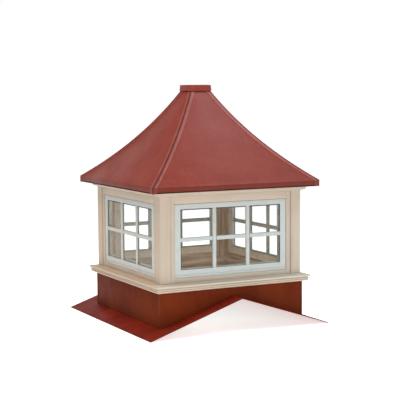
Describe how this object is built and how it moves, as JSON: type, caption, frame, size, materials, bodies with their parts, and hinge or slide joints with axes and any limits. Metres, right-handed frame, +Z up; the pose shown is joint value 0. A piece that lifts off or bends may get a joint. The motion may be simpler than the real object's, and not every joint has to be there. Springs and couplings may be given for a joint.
{
  "type": "roof cupola",
  "caption": "Square roof cupola: a notched metal base that straddles a ridge, a windowed timber body and a concave metal roof with a flat cap.",
  "frame": {"origin": "centre of the part's box, level with the outer edges of the side flashing that it rests on", "axes": "+Z up; the ridge that the base straddles runs along Y; the front, with the shorter flashing, faces -Y"},
  "size_m": [1.138, 1.201, 1.3848],
  "materials": {
    "base_metal": "satin",
    "flashing_metal": "satin",
    "roof_metal": "satin",
    "painted_trim": "painted outside, bare inside",
    "window_frame": "satin",
    "glass": "clear"
  },
  "bodies": {
    "root": {"base_wall_front": "base_metal", "base_wall_right": "base_metal", "base_wall_back": "base_metal", "base_wall_left": "base_metal", "flashing_front": "flashing_metal", "flashing_right": "flashing_metal", "flashing_back": "flashing_metal", "flashing_left": "flashing_metal", "sill_front": "painted_trim", "sill_right": "painted_trim", "sill_back": "painted_trim", "sill_left": "painted_trim", "corner_post_front_left": "painted_trim", "corner_post_front_right": "painted_trim", "corner_post_back_right": "painted_trim", "corner_post_back_left": "painted_trim", "bottom_rail_front": "painted_trim", "bottom_rail_right": "painted_trim", "bottom_rail_back": "painted_trim", "bottom_rail_left": "painted_trim", "top_rail_front": "painted_trim", "top_rail_right": "painted_trim", "top_rail_back": "painted_trim", "top_rail_left": "painted_trim", "window_frame_front": "window_frame", "window_frame_right": "window_frame", "window_frame_back": "window_frame", "window_frame_left": "window_frame", "window_glass_front": "glass", "window_glass_right": "glass", "window_glass_back": "glass", "window_glass_left": "glass", "cornice_front": "painted_trim", "cornice_right": "painted_trim", "cornice_back": "painted_trim", "cornice_left": "painted_trim", "soffit": "painted_trim", "roof_panel_front": "roof_metal", "roof_panel_right": "roof_metal", "roof_panel_back": "roof_metal", "roof_panel_left": "roof_metal", "hip_strip_front_left": "roof_metal", "hip_strip_front_right": "roof_metal", "hip_strip_back_right": "roof_metal", "hip_strip_back_left": "roof_metal", "roof_cap": "roof_metal"}
  },
  "joints": []
}
